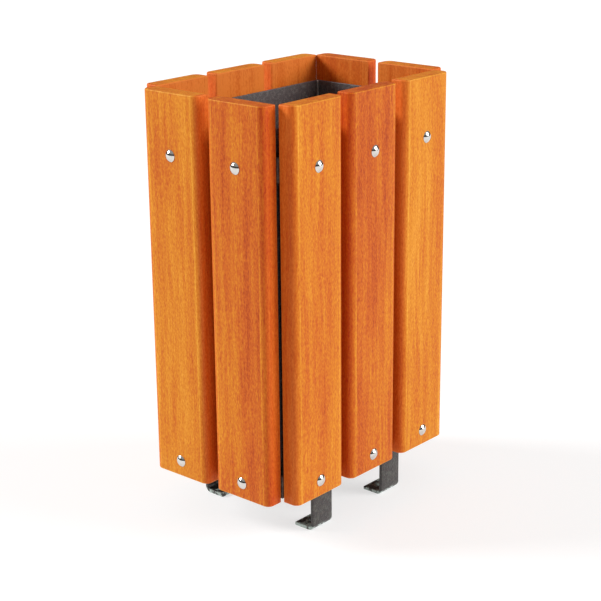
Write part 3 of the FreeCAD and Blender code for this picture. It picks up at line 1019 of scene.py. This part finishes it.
class BIN_OT_stage(bpy.types.Operator):
    """Plain pale floor, soft studio light and the camera"""
    bl_idname = "litter_bin.stage"
    bl_label = "Stage"

    # name, direction from the bin to the light, strength, how wide it looks in degrees
    lights = (
        ("key_light", (-0.75, 1.0, 0.65), 3.05, 20),
        ("fill_light", (0.62, -1.0, 0.5), 2.65, 35),
    )

    def execute(self, context):
        scene = context.scene
        stage = scene.litter_bin.stage
        scene.view_settings.view_transform = "Standard"
        self.make_floor(stage)
        self.make_lights()
        self.make_world(scene, stage)
        self.make_camera(scene, stage)
        return {"FINISHED"}

    def make_floor(self, stage):
        bm = bmesh.new()
        bmesh.ops.create_grid(bm, x_segments=1, y_segments=1, size=30.0)
        material, tree = new_material("studio_floor")
        finish_material(tree, {"Base Color": (*stage.floor, 1), "Roughness": 0.8,
                               "Specular IOR Level": 0.2, "Emission Color": (1, 1, 1, 1),
                               "Emission Strength": stage.floor_glow})
        floor = new_object("studio_floor", bm, material)
        if floor.data.polygons[0].normal.z < 0:
            floor.data.flip_normals()

    def make_lights(self):
        """Large distant softboxes, so the floor is lit as evenly as the bin."""
        for name, direction, strength, width in self.lights:
            data = bpy.data.lights.new(name, "SUN")
            data.energy, data.angle = strength, math.radians(width)
            light = bpy.data.objects.new(name, data)
            light.rotation_euler = Vector(direction).to_track_quat("Z", "Y").to_euler()
            bpy.context.scene.collection.objects.link(light)

    def make_world(self, scene, stage):
        """A bright ceiling over a dim band at eye level, which polished steel mirrors. The
        backdrop that the camera sees past the floor is plain white."""
        world = bpy.data.worlds.new("studio")
        world.use_nodes = True
        tree = world.node_tree
        tree.nodes.clear()
        place = add(tree, "ShaderNodeTexCoord")
        height = add(tree, "ShaderNodeSeparateXYZ", links={0: place.outputs["Generated"]})
        room = add(tree, "ShaderNodeValToRGB",
                   {"stops": [(0.0, (0.10,) * 3), (0.26, (0.12,) * 3), (0.42, (0.8,) * 3),
                              (1.0, (1,) * 3)]}, {"Fac": height.outputs["Z"]})
        ray = add(tree, "ShaderNodeLightPath")
        seen = add(tree, "ShaderNodeMix", {"data_type": "RGBA", 7: (1, 1, 1, 1)},
                   {0: ray.outputs["Is Camera Ray"], 6: room.outputs["Color"]})
        background = add(tree, "ShaderNodeBackground", {"Strength": stage.sky},
                         {"Color": seen.outputs[2]})
        add(tree, "ShaderNodeOutputWorld", links={"Surface": background})
        scene.world = world

    def make_camera(self, scene, stage):
        data = bpy.data.cameras.new("camera")
        data.sensor_width, data.lens = 36.0, stage.lens
        camera = bpy.data.objects.new("camera", data)
        a, e = stage.azimuth, stage.elevation
        back = Vector((math.sin(a) * math.cos(e), -math.cos(a) * math.cos(e), math.sin(e)))
        camera.location = Vector((0, 0, stage.aim_height)) + back * stage.distance
        upright = (-back).to_track_quat("-Z", "Y")
        camera.rotation_mode = "QUATERNION"
        camera.rotation_quaternion = upright @ Quaternion((0, 0, 1), stage.roll)
        scene.collection.objects.link(camera)
        scene.camera = camera


class BIN_PT_panel(bpy.types.Panel):
    """The bin's settings and the operators that build it"""
    bl_idname = "BIN_PT_panel"
    bl_label = "Litter bin"
    bl_space_type = "VIEW_3D"
    bl_region_type = "UI"
    bl_category = "Litter bin"

    def draw(self, context):
        settings = context.scene.litter_bin
        for label, group in (("Timber", settings.timber), ("Steel", settings.steel),
                             ("Liner", settings.liner), ("Fasteners", settings.fasteners),
                             ("Stage", settings.stage)):
            column = self.layout.box().column()
            column.label(text=label)
            for name in group.bl_rna.properties.keys():
                if name not in ("rna_type", "name"):
                    column.prop(group, name)
        for operator in OPERATORS:
            self.layout.operator(operator.bl_idname)


OPERATORS = (BIN_OT_slats, BIN_OT_frame, BIN_OT_fasteners, BIN_OT_liner, BIN_OT_welds,
             BIN_OT_stage)
CLASSES = (TimberSettings, SteelSettings, LinerSettings, FastenerSettings, StageSettings,
           BinSettings, *OPERATORS, BIN_PT_panel)


def register():
    for cls in CLASSES:
        bpy.utils.register_class(cls)
    bpy.types.Scene.litter_bin = bpy.props.PointerProperty(type=BinSettings)


def unregister():
    del bpy.types.Scene.litter_bin
    for cls in reversed(CLASSES):
        bpy.utils.unregister_class(cls)


def main():
    register()
    bpy.ops.litter_bin.slats()
    bpy.ops.litter_bin.frame()
    bpy.ops.litter_bin.fasteners()
    bpy.ops.litter_bin.liner()
    bpy.ops.litter_bin.welds()
    bpy.ops.litter_bin.stage()


if __name__ == "__main__":
    main()
